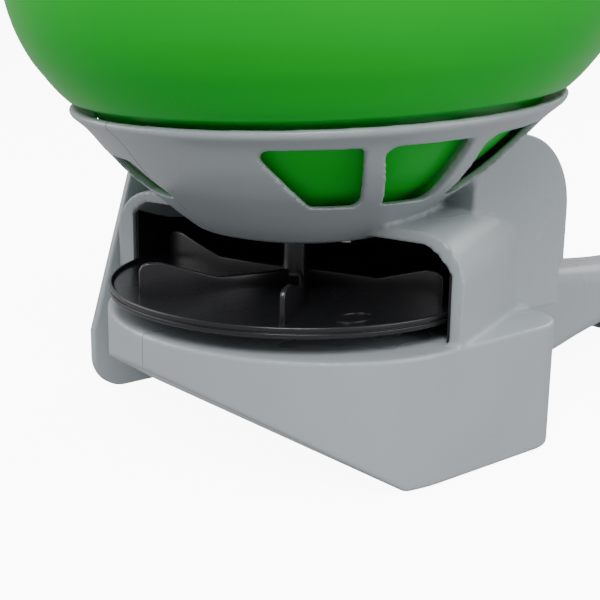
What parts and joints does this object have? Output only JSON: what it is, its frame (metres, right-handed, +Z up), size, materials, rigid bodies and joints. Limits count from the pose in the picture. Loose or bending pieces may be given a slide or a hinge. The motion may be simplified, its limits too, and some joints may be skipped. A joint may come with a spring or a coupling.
{
  "type": "garden spreader",
  "caption": "Hand-held broadcast spreader: round hopper in a vented cradle over a finned impeller, turned by a side crank through gears, with a squeeze trigger that opens the flow gate.",
  "frame": {"origin": "where the impeller's vertical axis meets the plane of the flat foot, on the closed end of the lower bush", "axes": "+Z up along the impeller axis, -Y towards the nose, +Y along the handle, +X to the user's left; the crank is on the -X side"},
  "size_m": [0.231, 0.3835, 0.2141],
  "materials": {
    "body_plastic": "light grey moulded ABS, satin",
    "hopper_plastic": "saturated green moulded polypropylene, glossy",
    "black_plastic": "near-black moulded nylon, half gloss",
    "bearing_nylon": "natural nylon, moulded",
    "bright_steel": "zinc-plated steel"
  },
  "bodies": {
    "body": {"housing_left": "body_plastic", "housing_right": "body_plastic", "gear_cover": "body_plastic", "chamber_liner": "black_plastic", "hopper": "hopper_plastic", "lower_bush": "bearing_nylon", "upper_bush": "bearing_nylon", "crank_outer_bush": "bearing_nylon", "crank_inner_bush": "bearing_nylon", "gate_lever_pin": "bright_steel", "trigger_pin": "bright_steel", "trigger_spring": "bright_steel", "hopper_screw_1": "bright_steel", "hopper_screw_2": "bright_steel", "body_screw_1": "bright_steel", "body_screw_2": "bright_steel", "body_screw_3": "bright_steel", "body_screw_4": "bright_steel", "body_screw_5": "bright_steel", "body_screw_6": "bright_steel", "cover_screw_1": "bright_steel", "cover_screw_2": "bright_steel", "cover_screw_3": "bright_steel"},
    "crank": {"crank_shaft": "bright_steel", "crown_gear": "bearing_nylon", "crank_arm": "body_plastic", "crank_screw": "bright_steel", "knob_spindle": "bright_steel", "knob_cap": "black_plastic"},
    "knob": {"crank_knob": "black_plastic"},
    "spinner": {"impeller": "black_plastic", "drive_shaft": "bright_steel", "pinion": "bearing_nylon", "shaft_clip": "bright_steel", "agitator": "black_plastic"},
    "trigger": {"trigger": "black_plastic"},
    "rod": {"push_rod": "bright_steel"},
    "lever": {"gate_lever": "bearing_nylon"},
    "gate": {"flow_gate": "bearing_nylon"},
    "dial": {"flow_dial": "black_plastic"}
  },
  "joints": [
    {"name": "crank_spin", "type": "hinge", "parent": "body", "child": "crank", "pos_m": [-0.078, 0, 0.0215], "axis": [1, 0, 0], "continuous": true},
    {"name": "knob_spin", "type": "hinge", "parent": "crank", "child": "knob", "pos_m": [-0.1, 0.058, 0.0215], "axis": [1, 0, 0], "continuous": true},
    {"name": "impeller_spin", "type": "hinge", "parent": "body", "child": "spinner", "pos_m": [0, 0, 0.051], "axis": [0, 0, 1], "continuous": true},
    {"name": "trigger_pull", "type": "hinge", "parent": "body", "child": "trigger", "pos_m": [0, 0.166, 0.018], "axis": [1, 0, 0], "range_deg": [0, 22], "stiffness_Nm_per_rad": 0.08, "springref_deg": -28.65},
    {"name": "rod_slide", "type": "slide", "parent": "body", "child": "rod", "axis": [0, 1, 0], "range_m": [-0.005, 0]},
    {"name": "lever_swing", "type": "hinge", "parent": "body", "child": "lever", "pos_m": [0, 0.08, 0.046], "axis": [1, 0, 0], "range_deg": [-17, 0]},
    {"name": "gate_slide", "type": "slide", "parent": "body", "child": "gate", "axis": [0, 1, 0], "range_m": [0, 0.0095]},
    {"name": "dial_turn", "type": "hinge", "parent": "body", "child": "dial", "pos_m": [0, 0.111, 0.05933], "axis": [0, 0.8, 0.6], "range_deg": [0, 270]}
  ],
  "couplings": [
    {"joint": "impeller_spin", "follows": "crank_spin", "ratio": 3},
    {"joint": "rod_slide", "follows": "trigger_pull", "m_per_rad": -0.0117},
    {"joint": "lever_swing", "follows": "trigger_pull", "ratio": -0.75},
    {"joint": "gate_slide", "follows": "trigger_pull", "m_per_rad": 0.0232}
  ]
}
